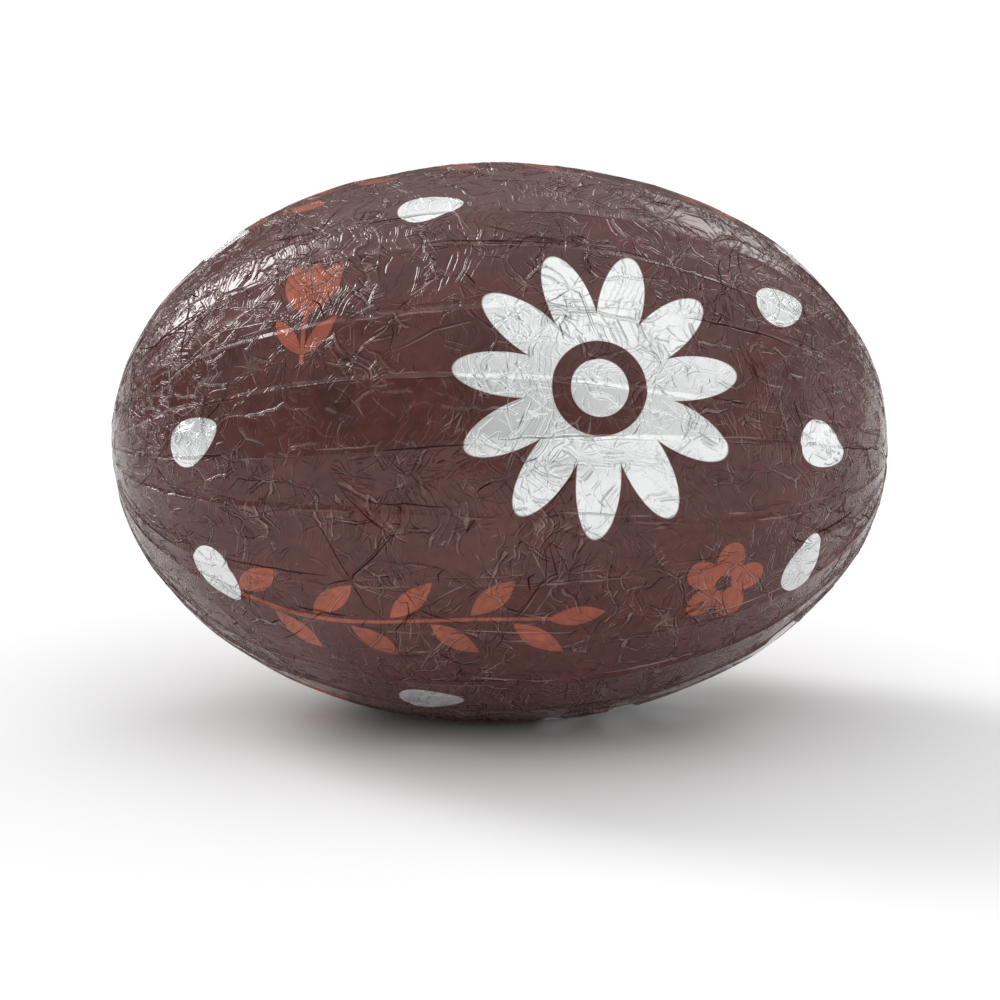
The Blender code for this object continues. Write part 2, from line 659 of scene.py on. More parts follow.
def dash_patches(luck):
    """Patches of short straight creases that all run the same way."""
    for _ in range(DASH_PATCHES):
        centre = crumpled_place(luck, DASH_REACH)
        lengthwise = lengthwise_at(centre)
        beside = normal_at(centre).cross(lengthwise)
        way = turned(lengthwise, centre, luck.gauss(*DASH_SLANT))
        for _ in range(luck.randint(*DASHES_IN_PATCH)):
            onward = luck.gauss(0, DASH_SPREAD[0])
            sideways = luck.gauss(0, DASH_SPREAD[1])
            start = centre + lengthwise * onward * MM + beside * sideways * MM
            length = luck.uniform(*DASH_LENGTHS) * MM
            ridge = walk(luck, start, way, length, DASH_STEP * MM, DASH_BENDS)
            yield Crease(luck, ridge, FINE_FLANK * DASH_WIDTH)


def pleat_creases(luck):
    """Broken fine creases that follow each pleat, and short nicks across its crest."""
    for pleat in range(PLEATS):
        for offset in (0.0, luck.uniform(*PLEAT_LINE_OFFSETS) * MM):
            along = luck.uniform(*PLEAT_LINE_STARTS)
            while along < math.pi - PLEAT_LINE_STOP:
                end = along + luck.uniform(*PLEAT_LINE_ANGLES)
                end = min(end, math.pi - PLEAT_LINE_END)
                ridge = []
                while along < end:
                    radius = GIRTH_RADIUS * math.sin(along)
                    stray = luck.gauss(0, PLEAT_LINE_STRAY) * MM
                    around = crest_angle(pleat, along) + (offset + stray) / radius
                    ridge.append(place_at(along, around))
                    along += PLEAT_LINE_STEP * luck.uniform(*PLEAT_STEP_SPREAD)
                if len(ridge) > 2:
                    lop = luck.choice(PLEAT_LINE_LOPS)
                    yield Crease(luck, ridge, FINE_FLANK * FOLD_WIDTH, lop)
                along += luck.uniform(*PLEAT_LINE_BREAKS)
        along = luck.uniform(*NICK_STARTS)
        while along < math.pi - NICK_STOP:
            radius = GIRTH_RADIUS * math.sin(along)
            around = crest_angle(pleat, along) + luck.uniform(*NICK_OFFSETS) * MM / radius
            start = place_at(along, around)
            way = turned(lengthwise_at(start), start, luck.gauss(*NICK_SLANT))
            length = luck.uniform(*NICK_LENGTHS) * MM
            ridge = walk(luck, start, way, length, NICK_STEP * MM, NICK_BENDS)
            yield Crease(luck, ridge, FINE_FLANK)
            along += NICK_SPACING * luck.uniform(*NICK_SPREAD)


def pleat_guides():
    """Lines up each pleat's ramp, on its crest and at its foot, so that there are edges there."""
    for pleat in range(PLEATS):
        for share in (RAMP_MIDDLE, DROP_TOP, DROP_FOOT):
            line = []
            for step in range(GUIDE_STEPS + 1):
                along = GUIDE_START + (math.pi - 2 * GUIDE_START) * step / GUIDE_STEPS
                line.append(place_at(along, crest_angle(pleat, along) + share * PITCH_ANGLE))
            yield line


def all_creases():
    luck = random.Random(CREASE_SEED)
    makers = (star_creases, line_patches, long_folds, squiggles, dash_patches, pleat_creases)
    creases = [crease for maker in makers for crease in maker(luck)]
    return [crease for crease in creases if len(crease.ridge) > 2]


# ---------------------------------------------------------------------------
# The wrapper's surface
# ---------------------------------------------------------------------------

DENT_SIZE, DENT_DEPTH = 5.2 * MM, 0.1 * MM
FACET_SIZE, FACET_DEPTH = 4.2 * MM, 0.08 * MM
SMALL_FACET_SIZE, SMALL_FACET_DEPTH = 2.1 * MM, 0.035 * MM
SMALL_FACET_SHIFT = 0.2
FACET_BEND, FACET_BEND_SIZE = 0.24, 0.7  # shares of a facet's size
DENT_SEED = 0.11
SHARP_ANGLE = math.radians(9)  # past which an edge is shaded as a fold


def to_plan(place):
    """The egg's surface opened flat about its left tip, with all angles kept as on a ball."""
    reach = math.tan(math.acos(max(-1.0, min(1.0, -place.x / HALF_LENGTH))) / 2)
    around = math.atan2(place.z, -place.y)
    return Vector((reach * math.cos(around), reach * math.sin(around)))


def from_plan(spot):
    return place_at(2 * math.atan(spot.length), math.atan2(spot.y, spot.x))


def grid_places():
    """Points in even rings from tip to tip, every other ring turned by half a gap."""
    rings = round(TIP_TO_TIP / (GRID_SPACING * RING_SHARE))
    for ring in range(rings):
        along = math.pi * (ring + 0.5) / rings
        count = max(6, round(2 * math.pi * GIRTH_RADIUS * math.sin(along) / GRID_SPACING))
        for place in range(count):
            yield place_at(along, 2 * math.pi * (place + 0.5 * (ring % 2)) / count)


def search_tree(places):
    """A tree that finds which places are near a point."""
    tree = KDTree(len(places))
    for number, place in enumerate(places):
        tree.insert(place, number)
    tree.balance()
    return tree


def crease_plan(creases):
    """The plain egg's surface in triangles whose edges run along every crease."""
    lines = [line for crease in creases for line in crease.lines()] + list(pleat_guides())
    places, edges, taken = [], [], []
    for line in lines:
        first = len(places)
        places += line
        edges += [(point, point + 1) for point in range(first, len(places) - 1)]
        for start, end in zip(line, line[1:]):
            stops = math.ceil((end - start).length / GRID_CLEARANCE)
            taken += [start.lerp(end, stop / stops) for stop in range(stops + 1)]
    tree = search_tree(taken)
    places += [place for place in grid_places() if tree.find(place)[2] > GRID_CLEARANCE]
    spots = [to_plan(place) for place in places]
    spots, _, faces, *_ = delaunay_2d_cdt(spots, edges, [], 0, MERGE_REACH, False)
    return [from_plan(spot) for spot in spots], faces


def near_creases(creases, places):
    """Each place's creases, with its signed way off the ridge and the crease's share there."""
    tree = search_tree(places)
    for crease in creases:
        for step, (start, end) in enumerate(zip(crease.ridge, crease.ridge[1:])):
            way = end - start
            length = way.length
            way = way / length
            side = normal_at(start).cross(way)
            low, high = crease.share[step], crease.share[step + 1]
            reach = length / 2 + crease.reach()
            for place, number, _ in tree.find_range((start + end) / 2, reach):
                from_start = place - start
                forward = from_start.dot(way) / length
                if -STEP_OVERLAP <= forward <= 1 + STEP_OVERLAP:
                    share = low + (high - low) * forward
                    yield number, crease, from_start.dot(side), share


def crease_lifts(creases, places):
    """Height of the creases at each place."""
    ridges, grooves = [0.0] * len(places), [0.0] * len(places)
    for number, crease, off, share in near_creases(creases, places):
        width = (crease.left if off > 0 else crease.right) * max(share, THINNEST_SHARE)
        nearness = max(1 - abs(off) / width, 0.0)
        lift = crease.rise * min(crease.left, crease.right) * share * nearness
        ridges[number] = max(ridges[number], lift)
        grooves[number] = min(grooves[number], lift)
    return [ridge + groove for ridge, groove in zip(ridges, grooves)]


def painted_flank_shades(creases, middles):
    """How dark each face is painted: one flank of a crease gets a painted shadow, the other a
    painted highlight.
    """
    shades = [0.0] * len(middles)
    for number, crease, off, share in near_creases(creases, middles):
        spread = max(share, THINNEST_SHARE)
        if 0 < off < crease.left * spread:
            shades[number] = crease.shade * share
        elif -crease.right * spread < off < 0:
            shades[number] = -crease.shade * share
    return shades


def make_plan():
    """A mesh of the plain egg that holds the height of every crease, and the painted shadow and
    highlight of its flanks.
    """
    creases = all_creases()
    places, faces = crease_plan(creases)
    mesh = bpy.data.meshes.new("crease_plan")
    mesh.from_pydata(places, [], faces)
    work = bmesh.new()
    work.from_mesh(mesh)
    bmesh.ops.holes_fill(work, edges=work.edges)
    bmesh.ops.triangulate(work, faces=work.faces)
    bmesh.ops.recalc_face_normals(work, faces=work.faces)
    work.to_mesh(mesh)
    work.free()
    places = [vertex.co.copy() for vertex in mesh.vertices]
    lifts = mesh.attributes.new("crease_lift", "FLOAT", "POINT")
    lifts.data.foreach_set("value", crease_lifts(creases, places))
    middles = [face.center.copy() for face in mesh.polygons]
    # painted shadow and painted highlight on the flanks of each crease, one value to a face
    shades = mesh.attributes.new("painted_flank_shade", "FLOAT", "FACE")
    shades.data.foreach_set("value", painted_flank_shades(creases, middles))
    crumples = mesh.attributes.new("crumple", "FLOAT", "POINT")
    crumples.data.foreach_set("value", [crumple_at(place) for place in places])
    return mesh


def named(tree, name, kind):
    node = tree.nodes.new("GeometryNodeInputNamedAttribute")
    node.data_type = kind
    node.inputs["Name"].default_value = name
    return Field(node.outputs[0])


def facets(spot, size, shift):
    """Flat-sided dents that meet in ridges, from 0 to about 1."""
    push = noise(spot.place, size * FACET_BEND_SIZE, 1.0, "Vector") - (0.5, 0.5, 0.5)
    place = spot.place + push * (FACET_BEND * size) + vector(shift, shift, -shift)
    return Field(cells(place, size).outputs["Distance"])


def wrapper_inputs(tree):
    """The tree's named inputs, each with its value."""
    face = tree.interface
    face.new_socket("Geometry", in_out="INPUT", socket_type="NodeSocketGeometry")
    values = {
        "Centre Height": CENTRE_HEIGHT,
        "Dent Depth": DENT_DEPTH,
        "Facet Depth": FACET_DEPTH,
        "Small Facet Depth": SMALL_FACET_DEPTH,
        "Crease Scale": 1.0,
        "Sharp Angle": SHARP_ANGLE,
        "Seed": DENT_SEED,
    }
    for name, value in values.items():
        socket = face.new_socket(name, in_out="INPUT", socket_type="NodeSocketFloat")
        socket.default_value = value
    face.new_socket("Material", in_out="INPUT", socket_type="NodeSocketMaterial")
    face.new_socket("Geometry", in_out="OUTPUT", socket_type="NodeSocketGeometry")
    return tree.nodes.new("NodeGroupInput").outputs


def next_node(before, kind):
    """A geometry node that takes what the one before gives."""
    tree = before.id_data
    node = tree.nodes.new(kind)
    tree.links.new(before, node.inputs["Geometry"])
    return node


def wrapper_tree():
    """Lays the plain egg's surface in pleats, dents and creases, with its belly on the ground."""
    tree = bpy.data.node_groups.new("foil_wrapper", "GeometryNodeTree")
    given = wrapper_inputs(tree)

    def number(name):
        return Field(given[name])

    store = next_node(given["Geometry"], "GeometryNodeStoreNamedAttribute")
    store.data_type = "FLOAT_VECTOR"
    store.domain = "POINT"
    store.inputs["Name"].default_value = "foil_rest"
    feed(store.inputs["Value"], Field(tree.nodes.new("GeometryNodeInputPosition").outputs[0]))

    spot = Spot(named(tree, "foil_rest", "FLOAT_VECTOR"))
    seed = number("Seed")
    dents = noise(spot.place + vector(seed, 0.0, 0.0), DENT_SIZE) - 0.5
    large = facets(spot, FACET_SIZE, seed) - 0.5
    small = facets(spot, SMALL_FACET_SIZE, seed + SMALL_FACET_SHIFT) - 0.5
    lift = pleat_lift(spot) + dents * number("Dent Depth")
    lift = lift + large * number("Facet Depth") + small * number("Small Facet Depth")
    lift = lift + named(tree, "crease_lift", "FLOAT") * number("Crease Scale")
    x, y, z = parts_of(spot.place + spot.normal * lift)
    lying = vector(x, y, larger(z + number("Centre Height"), 0.0))

    move = next_node(store.outputs[0], "GeometryNodeSetPosition")
    feed(move.inputs["Position"], lying)
    smooth = next_node(move.outputs[0], "GeometryNodeSetShadeSmooth")
    smooth.domain = "EDGE"
    angle = Field(tree.nodes.new("GeometryNodeInputMeshEdgeAngle").outputs["Unsigned Angle"])
    feed(smooth.inputs["Selection"], above(angle, number("Sharp Angle")))
    smooth.inputs["Shade Smooth"].default_value = False
    realize = next_node(smooth.outputs[0], "GeometryNodeRealizeInstances")
    finish = next_node(realize.outputs[0], "GeometryNodeSetMaterial")
    tree.links.new(given["Material"], finish.inputs["Material"])
    tree.links.new(finish.outputs[0], tree.nodes.new("NodeGroupOutput").inputs[0])
    return tree


def plain_mesh(holder, name):
    """The evaluated object as a plain mesh object."""
    graph = bpy.context.evaluated_depsgraph_get()
    mesh = bpy.data.meshes.new_from_object(holder.evaluated_get(graph))
    mesh.name = name
    bpy.data.objects.remove(holder)
    return placed(name, mesh)


def make_wrapper(material):
    tree = wrapper_tree()
    holder = placed("wrapper_holder", make_plan())
    holder.data.shade_smooth()
    modifier = holder.modifiers.new("foil_wrapper", "NODES")
    modifier.node_group = tree
    for item in tree.interface.items_tree:
        if item.name == "Material":
            modifier[item.identifier] = material
    return plain_mesh(holder, "foil_wrapper")


# ---------------------------------------------------------------------------
# Print: generic flowers, leaves and drops, three times round the girth
# ---------------------------------------------------------------------------

REPEATS = 3
PRINT_EDGE = 0.025 * MM  # how sharply a motif ends
STEM_HALF_WIDTH = 0.1 * MM
DROP_SLIMMING = 0.32  # of a drop towards one end

# Sizes of a motif's parts, as shares of its radius, height or leaf length.
DAISY_PETAL_OUT, DAISY_PETAL_LENGTH, DAISY_PETAL_WIDTH = 0.62, 0.38, 0.155
DAISY_RING, DAISY_MIDDLE = 0.33, 0.2
BLOSSOM_PETALS = 5
BLOSSOM_PETAL_OUT, BLOSSOM_PETAL_LENGTH, BLOSSOM_PETAL_WIDTH = 0.58, 0.42, 0.34
BLOSSOM_MIDDLE = 0.2
SPRIG_WAVE, SPRIG_STEM_HALF_WIDTH, SPRIG_SPACINGS = 0.1, 0.09 * MM, 4
SPRIG_SIDES = ((1.0, -0.75), (-1.0, -0.25))  # up or down, and where its leaves are counted from
SPRIG_FIRST_LEAF, SPRIG_LAST_LEAF = -1.0, 2.0
SPRIG_LEAF_OUT, SPRIG_LEAF_LENGTH, SPRIG_LEAF_WIDTH, SPRIG_LEAF_TURN = 0.42, 0.5, 0.2, 42
SPRIG_END_OUT, SPRIG_END_LENGTH, SPRIG_END_WIDTH = 0.3, 0.45, 0.19
TULIP_FLOWER_UP, TULIP_STEM_DOWN = 0.2, 0.25
TULIP_PETAL_OUT, TULIP_PETAL_LENGTH, TULIP_PETAL_WIDTH, TULIP_PETAL_TURN = 0.11, 0.3, 0.13, 24
TULIP_LEAF_OUT, TULIP_LEAF_DOWN, TULIP_LEAF_TURN = 0.15, 0.26, 38
TULIP_LEAF_LENGTH, TULIP_LEAF_WIDTH = 0.22, 0.07

# Where each motif lies: millimetres right of the middle, degrees up from the front, and its turn.
DAISY_PLACE = (4.2, 22, 9)
DROP_PLACES = ((-13.2, 12, 25), (-12.2, -28, -40), (14.0, 10, -20),
               (12.2, 52, 35), (-3.0, 66, 10), (13.2, -28, 60))
SPRIG_PLACE = (-4.6, -28, 4)
TULIP_PLACE = (-8.2, 42, -8)
BLOSSOM_PLACE = (9.6, -24, 0)


class Paper:
    """Flat coordinates on the egg about the middle of one motif, to the right and upwards."""

    def __init__(self, right, up):
        self.right, self.up = right, up

    def moved(self, right, up):
        return Paper(self.right - right, self.up - up)

    def turned(self, degrees):
        angle = math.radians(degrees)
        return Paper(self.right * math.cos(angle) + self.up * math.sin(angle),
                     self.up * math.cos(angle) - self.right * math.sin(angle))

    def folded(self, sides):
        """The same for each of several sides about the middle, as for petals."""
        distance = sqrt(self.right * self.right + self.up * self.up)
        half = math.pi / sides
        angle = wrapped(arctan2(self.up, self.right), -half, half)
        return Paper(distance * cos(angle), distance * sin(angle))


def inside(margin):
    """1 where the margin is above nothing, with a thin soft edge."""
    return ramp(margin, -PRINT_EDGE, PRINT_EDGE)


def oval(paper, half_length, half_width):
    right, up = paper.right / half_length, paper.up / half_width
    return inside((1.0 - sqrt(right * right + up * up)) * min(half_length, half_width))


def disc(paper, radius):
    return oval(paper, radius, radius)


def leaf(paper, half_length, half_width):
    """A shape with two round sides that meet in two points."""
    right = paper.right / half_length
    return inside((1.0 - right * right) * half_width - absolute(paper.up))


def drop(paper, half_length, half_width):
    """An oval that is slimmer at one end."""
    right = paper.right / half_length
    girth = sqrt(larger(1.0 - right * right, 0.0)) * (1.0 - DROP_SLIMMING * right)
    side = girth * half_width - absolute(paper.up)
    return inside(smaller(side, (1.0 - absolute(right)) * half_length))


def bar(paper, half_length, half_width):
    beyond = larger(absolute(paper.right) - half_length, 0.0)
    return inside(half_width - sqrt(beyond * beyond + paper.up * paper.up))


def daisy(paper, radius, petals):
    """Petals round a ringed middle: silver, apart from the gaps."""
    petal_paper = paper.folded(petals).moved(radius * DAISY_PETAL_OUT, 0.0)
    petal = oval(petal_paper, radius * DAISY_PETAL_LENGTH, radius * DAISY_PETAL_WIDTH)
    ring = disc(paper, radius * DAISY_RING)
    return larger(petal * (1.0 - ring), disc(paper, radius * DAISY_MIDDLE))


def sprig(paper, length, leaf_length):
    """A wavy stem with leaves on either side by turns, and one at its end."""
    bend = sin(paper.right * (2 * math.pi / length)) * leaf_length * SPRIG_WAVE
    shapes = [bar(Paper(paper.right, paper.up - bend), length * 0.5, SPRIG_STEM_HALF_WIDTH)]
    spacing = length / SPRIG_SPACINGS
    for side, start in SPRIG_SIDES:
        number = rounded(paper.right / spacing - start)
        number = smaller(larger(number, SPRIG_FIRST_LEAF), SPRIG_LAST_LEAF)
        own = Paper(paper.right - (number + start) * spacing, (paper.up - bend) * side)
        own = own.moved(0.0, leaf_length * SPRIG_LEAF_OUT).turned(SPRIG_LEAF_TURN)
        shapes.append(leaf(own, leaf_length * SPRIG_LEAF_LENGTH, leaf_length * SPRIG_LEAF_WIDTH))
    end = paper.moved(length * 0.5 + leaf_length * SPRIG_END_OUT, 0.0)
    shapes.append(leaf(end, leaf_length * SPRIG_END_LENGTH, leaf_length * SPRIG_END_WIDTH))
    return either(shapes)


def tulip(paper, height):
    """Three petals on a stem with two leaves."""
    flower = paper.moved(0.0, height * TULIP_FLOWER_UP)
    stem = paper.moved(0.0, -height * TULIP_STEM_DOWN).turned(90)
    shapes = []
    for side in (-1, 0, 1):
        petal = flower.moved(height * TULIP_PETAL_OUT * side, 0.0)
        petal = petal.turned(90 - TULIP_PETAL_TURN * side)
        shapes.append(leaf(petal, height * TULIP_PETAL_LENGTH, height * TULIP_PETAL_WIDTH))
    shapes.append(bar(stem, height * TULIP_STEM_DOWN, STEM_HALF_WIDTH))
    for side in (-1, 1):
        own = paper.moved(height * TULIP_LEAF_OUT * side, -height * TULIP_LEAF_DOWN)
        own = own.turned(90 - TULIP_LEAF_TURN * side)
        shapes.append(leaf(own, height * TULIP_LEAF_LENGTH, height * TULIP_LEAF_WIDTH))
    return either(shapes)


def blossom(paper, radius):
    """Five round petals with a bare middle."""
    petal_paper = paper.folded(BLOSSOM_PETALS).moved(radius * BLOSSOM_PETAL_OUT, 0.0)
    petals = oval(petal_paper, radius * BLOSSOM_PETAL_LENGTH, radius * BLOSSOM_PETAL_WIDTH)
    return petals * (1.0 - disc(paper, radius * BLOSSOM_MIDDLE))


def paper_at(spot, place):
    """Flat coordinates about one of the places above, the same for each repeat round the egg."""
    right, up_degrees, turn = place
    right = right * MM
    along = math.acos(-right / HALF_LENGTH)
    radius = GIRTH_RADIUS * math.sin(along)
    way = Vector((HALF_LENGTH * math.sin(along), GIRTH_RADIUS * math.cos(along))).normalized()
    half = math.pi / REPEATS
    offset = wrapped(spot.around - math.radians(up_degrees), -half, half)
    lengthwise = (spot.x - right) * way.x + (spot.radius * cos(offset) - radius) * way.y
    return Paper(lengthwise, spot.radius * sin(offset)).turned(turn)


def silver_print(spot):
    flower = daisy(paper_at(spot, DAISY_PLACE), radius=6.2 * MM, petals=11)
    drops = [drop(paper_at(spot, place), half_length=1.45 * MM, half_width=0.95 * MM)
             for place in DROP_PLACES]
    return either([flower, *drops])


def copper_print(spot):
    row = sprig(paper_at(spot, SPRIG_PLACE), length=14.0 * MM, leaf_length=2.6 * MM)
    flower = tulip(paper_at(spot, TULIP_PLACE), height=5.0 * MM)
    small = blossom(paper_at(spot, BLOSSOM_PLACE), radius=2.0 * MM)
    return either([row, flower, small])


# ---------------------------------------------------------------------------
# Finish of the foil
# ---------------------------------------------------------------------------

LACQUER_BROWN = (0.086, 0.0204, 0.0165)
LACQUER_COPPER = (0.34, 0.082, 0.045)
BARE_SILVER = (0.84, 0.85, 0.85)
WORN_AND_HIGHLIT_LACQUER = (0.36, 0.225, 0.205)  # on sharp ridges: lacquer worn thin and cracked there, and a painted highlight
LACQUER_METALLIC, SILVER_METALLIC = 0.15, 0.8
LACQUER_ROUGHNESS, SILVER_ROUGHNESS = 0.36, 0.25
COAT_ROUGHNESS = 0.05
LACQUER_UNEVENNESS = 0.6
CLOUD_SIZE, SPECK_SIZE = 2.4 * MM, 0.4 * MM  # of the lacquer's uneven colour
GRAIN_SIZE, GRAIN_HEIGHT = 0.3 * MM, 0.006 * MM
FINE_HEIGHT = 0.03 * MM  # of a hairline crease

FULL_CREASE = 0.016 * MM  # height from which a modelled ridge is fully worn and painted lighter
WEAR_AND_HIGHLIGHT_SHARE = 0.65  # how far such a ridge is worn and painted lighter
HAIRLINE_WEAR_AND_HIGHLIGHT, HAIRLINE_KEPT = 1.4, 0.4  # only a hairline's top is worn and painted lighter
# patches where ridges are worn and painted lighter, and where less
WEAR_AND_HIGHLIGHT_PATCHES, WEAR_AND_HIGHLIGHT_SHIFT, WEAR_AND_HIGHLIGHT_EDGE = 1.1 * MM, (0.1, 0.4, 0.9), (0.36, 0.6)
LEAST_WEAR_AND_HIGHLIGHT = 0.25  # between those patches
GROOVE_SHADE, GROOVE_COAT_SHADE = 0.5, 0.8  # painted shade in grooves and on shaded flanks: how much it darkens the colour and takes from the coat

# A hairline crease beside its ridge: offsets and widths in half-widths of the ridge,
# heights as shares of its own.
GROOVE_OFFSET, GROOVE_DEPTH = 1.9, 0.8
FLANK_OFFSET, FLANK_WIDTH, FLANK_HEIGHT = 4.5, 3.0, 0.35
STAR_TURN = 0.7  # how far a ray is turned, as a share of the gap to the next
STAR_LEAST_RAY, STAR_FADE = 0.25, 0.3
DASH_REACHES, DASH_FADE = (0.3, 0.8), 0.6
NETWORK_SIZE, NETWORK_OFFSET = 1.9 * MM, 0.03 * MM
BUNDLE_GAP, BUNDLE_LENGTH = 0.3 * MM, 1.9 * MM
BUNDLE_WANDER, BUNDLE_WANDER_SIZE = 2.5 * MM, 3.1 * MM
BUNDLE_CROOK = 0.8  # how much of the warp its lines follow
BUNDLE_RAGGEDNESS = 900.0  # how unevenly its lines are broken, for each metre of the warp
WARP_SIZE, WARP_REACH = 1.1 * MM, 0.6 * MM
SQUEEZE = (1.0, 0.6, 1.0)  # of the smallest dashes' places, so that they are longer round
LEAST_CRUMPLE = 0.45  # how high a hairline still is where the foil is smooth
PATCH_START, PATCH_FULL = 0.97, 1.04  # of the noise, less the share that patches cover


def between(low, high, share):
    return share * (high - low) + low


def mixed(low, high, share):
    """A colour between two, each a field or three numbers."""
    node = share.tree.nodes.new("ShaderNodeMix")
    node.data_type = "RGBA"
    feed(node.inputs["Factor"], share)
    colours = [socket for socket in node.inputs if socket.type == "RGBA"]
    for socket, colour in zip(colours, (low, high)):
        feed(socket, colour if isinstance(colour, Field) else (*colour, 1.0))
    return Field(next(socket for socket in node.outputs if socket.type == "RGBA"))


def attribute(tree, name, output):
    node = tree.nodes.new("ShaderNodeAttribute")
    node.attribute_name = name
    return Field(node.outputs[output])


class Sheet:
    """The foil opened flat: along the pleats, and across them from its outer edge round."""

    def __init__(self, spot):
        edge = crest_number(OUTER_EDGE_PLEAT, spot.along)
        pleat = wrapped(pleat_number(spot) - edge, 0.0, float(PLEATS))
        self.lengthwise = spot.along * ((HALF_LENGTH + GIRTH_RADIUS) / 2)
        self.round = pleat * (PITCH_ANGLE * GIRTH_RADIUS)
        self.place = vector(self.lengthwise, self.round, 0.0)


def hairline(gap, half_width):
    """A thin ridge with a groove on one side and a broad low flank on the other."""
    ridge = bell(gap, half_width)
    groove = bell(gap - half_width * GROOVE_OFFSET, half_width)
    flank = bell(gap + half_width * FLANK_OFFSET, half_width * FLANK_WIDTH)
    return ridge - GROOVE_DEPTH * groove + FLANK_HEIGHT * flank


def up_or_down(luck, balance, height):
    """How high a hairline stands by chance: below nothing, it is a groove."""
    return (luck - balance) * height


def in_patches(sheet, size, shift, cover=0.5):
    """1 in patches of about this size, and 0 between them."""
    found = noise(sheet.place + (shift, 1.0 - shift, 0.0), size, dimensions="2D")
    return ramp(found, PATCH_START - cover, PATCH_FULL - cover)


def fine_stars(place, size, rays, reach, half_width, shift):
    """Small stars of hairline creases."""
    node = cells(place + (shift, shift, 0.0), size, dimensions="2D")
    centre = Field(node.outputs["Position"])
    side, forward, _ = parts_of(place + (shift, shift, 0.0) - centre)
    distance = sqrt(side * side + forward * forward)
    luck, _ = chance(centre)
    turns = arctan2(forward, side) * (rays / (2 * math.pi)) + luck * rays
    ray = rounded(turns)
    number = remainder(ray, rays)
    _, ray_vector = chance(centre + vector(number, number, number))
    ray_turn, ray_reach, ray_lift = parts_of(ray_vector)
    off = turns - ray + (ray_turn - 0.5) * STAR_TURN
    line = hairline(distance * off * (2 * math.pi / rays), half_width)
    end = reach * between(STAR_LEAST_RAY, 1.0, ray_reach)
    fade = ramp(distance, end, end * STAR_FADE)
    return line * fade * up_or_down(ray_lift, balance=0.4, height=1.7)


def fine_dashes(place, size, half_width, shift):
    """Short bent hairline creases, one to a cell of about this size, each turned by chance."""
    place = place + (shift, shift, 0.0)
    centre = Field(cells(place, size, dimensions="2D").outputs["Position"])
    side, forward, _ = parts_of(place - centre)
    turn, luck = chance(centre)
    turn = turn * math.pi
    bend, lift, reach = parts_of(luck)
    onward = forward * cos(turn) + side * sin(turn)
    gap = side * cos(turn) - forward * sin(turn) + (bend - 0.5) * onward * onward / size
    least, most = DASH_REACHES
    end = between(least * size, most * size, reach)
    fade = ramp(absolute(onward), end, end * DASH_FADE)
    return hairline(gap, half_width) * fade * up_or_down(lift, balance=0.35, height=1.6)


def fine_network(place, sheet):
    """Hairline creases that meet in corners, broken here and there."""
    node = cells(place, NETWORK_SIZE, "DISTANCE_TO_EDGE", "2D")
    edge = Field(node.outputs["Distance"]) * NETWORK_SIZE
    patches = in_patches(sheet, size=1.3 * MM, shift=0.8)
    return hairline(edge - NETWORK_OFFSET, half_width=0.029 * MM) * patches


def bundles(sheet, warp):
    """Crooked hairlines that run side by side round the egg, in patches."""
    sideways, onward, _ = parts_of(warp)
    wander = noise(sheet.place, BUNDLE_WANDER_SIZE, dimensions="2D") * BUNDLE_WANDER
    phase = (sheet.lengthwise + sideways * BUNDLE_CROOK + wander) / BUNDLE_GAP
    line = rounded(phase)
    piece = rounded(sheet.round / BUNDLE_LENGTH + onward * BUNDLE_RAGGEDNESS)
    luck, _ = chance(vector(line, piece, 0.0))
    relief = hairline((phase - line) * BUNDLE_GAP, half_width=0.031 * MM)
    patches = in_patches(sheet, size=2.1 * MM, shift=0.1, cover=0.58)
    return relief * up_or_down(luck, balance=0.4, height=1.8) * patches


def fine_creases(spot):
    """Creases too fine for the surface's own triangles: ridges above nothing, grooves below."""
    sheet = Sheet(spot)
    push = noise(sheet.place, WARP_SIZE, 1.0, "Vector", "2D") - (0.5, 0.5, 0.5)
    warp = push * WARP_REACH
    crooked = sheet.place + warp
    squeezed = crooked * SQUEEZE
    close = in_patches(sheet, size=1.8 * MM, shift=0.4)
    relief = fine_stars(crooked, size=2.6 * MM, rays=9, reach=2.2 * MM,
                        half_width=0.034 * MM, shift=0.3)
    relief = relief + bundles(sheet, warp) + fine_network(crooked, sheet)
    relief = relief + fine_dashes(crooked, size=1.0 * MM, half_width=0.036 * MM, shift=0.2)
    small = fine_dashes(crooked, size=0.6 * MM, half_width=0.032 * MM, shift=0.5)
    smallest = fine_dashes(squeezed, size=0.42 * MM, half_width=0.025 * MM, shift=0.9)
    relief = relief + small * close + smallest * close
    return relief * between(LEAST_CRUMPLE, 1.0, attribute(spot.tree, "crumple", "Fac"))


def wear_highlight_and_shade(spot, relief):
    """How worn and painted lighter the lacquer is on ridges and lit flanks, and how much painted
    shade lies in grooves and on shaded flanks, both 0 to 1.
    """
    lift = attribute(spot.tree, "crease_lift", "Fac") / FULL_CREASE
    flank = attribute(spot.tree, "painted_flank_shade", "Fac")
    patches = ramp(noise(spot.place + WEAR_AND_HIGHLIGHT_SHIFT, WEAR_AND_HIGHLIGHT_PATCHES), *WEAR_AND_HIGHLIGHT_EDGE)
    worn_and_highlit = smaller(either([relief * HAIRLINE_WEAR_AND_HIGHLIGHT - HAIRLINE_KEPT, lift, -flank]), 1.0)
    worn_and_highlit = larger(worn_and_highlit * between(LEAST_WEAR_AND_HIGHLIGHT, 1.0, patches), 0.0)
    shade = smaller(either([-relief, -lift, flank]), 1.0)
    return worn_and_highlit, larger(shade, 0.0)


